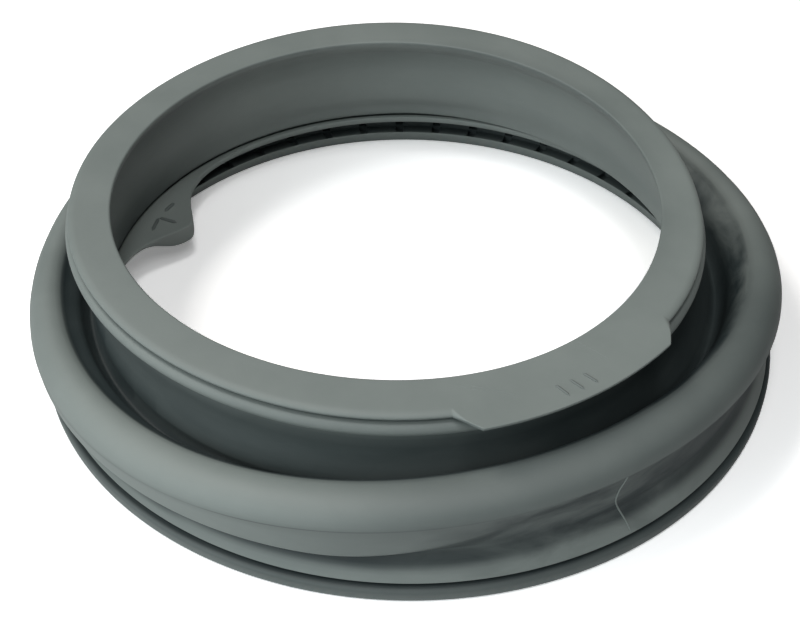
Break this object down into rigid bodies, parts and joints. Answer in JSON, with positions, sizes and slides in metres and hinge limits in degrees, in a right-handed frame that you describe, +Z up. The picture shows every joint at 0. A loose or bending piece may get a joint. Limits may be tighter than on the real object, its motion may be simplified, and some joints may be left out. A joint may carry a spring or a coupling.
{
  "type": "washing machine door seal",
  "caption": "Moulded rubber bellows seal that joins a front loader's tub to its door opening, with a flat flange, a pull tab and a locating lug.",
  "frame": {"origin": "under the middle of the seal's box, on the plane of the base ring's underside", "axes": "+Z up from the tub end to the door end, -Y towards the side where the pull tab is, +X to the right seen from there"},
  "size_m": [0.4128, 0.4094, 0.093],
  "materials": {
    "rubber": "satin grey rubber with faint mould marks"
  },
  "bodies": {
    "root": {"door_seal": "rubber"}
  },
  "joints": []
}
